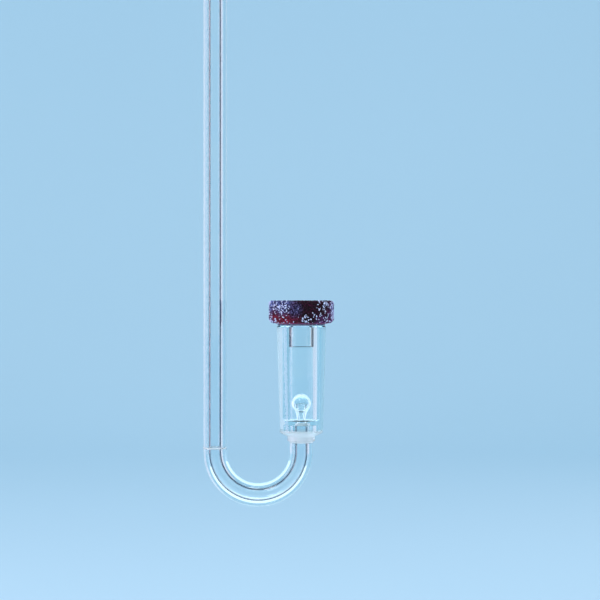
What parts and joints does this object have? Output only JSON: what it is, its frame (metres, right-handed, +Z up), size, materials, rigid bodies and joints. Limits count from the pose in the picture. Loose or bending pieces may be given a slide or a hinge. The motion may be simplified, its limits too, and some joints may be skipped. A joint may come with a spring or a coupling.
{
  "type": "carbon dioxide diffuser",
  "caption": "Clear U-bent gas tube whose short leg ends in a tapered bubble-counting chamber, topped by a removable round porous ceramic cap that spreads the gas as fine bubbles.",
  "frame": {"origin": "on the riser tube's axis, at the height where a suction-cup clip grips it, 100 mm above the lowest point of the bend", "axes": "+Z up along the riser towards the hose end, +X from the riser to the barrel, Y through the flat of the U"},
  "size_m": [0.0237, 0.012, 0.14],
  "materials": {
    "clear_tube": "clear polished",
    "clear_cast": "clear turned and polished",
    "cement": "clear solvent cement",
    "silicone": "translucent silicone",
    "sintered": "porous sintered",
    "adhesive": "cured adhesive"
  },
  "bodies": {
    "stem": {"riser_tube": "clear_tube", "riser_weld": "cement", "return_bend": "clear_tube", "barrel": "clear_cast", "barrel_weld": "cement", "bubble_nozzle": "clear_cast", "nozzle_weld": "cement"},
    "washer": {"seal_washer": "silicone"},
    "head": {"membrane_carrier": "clear_cast", "membrane_cap": "sintered", "cap_bond": "adhesive"}
  },
  "joints": [
    {"name": "head_lift", "type": "slide", "parent": "stem", "child": "washer", "axis": [0, 0, 1], "range_m": [0, 0.008]},
    {"name": "head_turn", "type": "hinge", "parent": "washer", "child": "head", "pos_m": [0.0156, 0, -0.067], "axis": [0, 0, 1], "continuous": true}
  ]
}
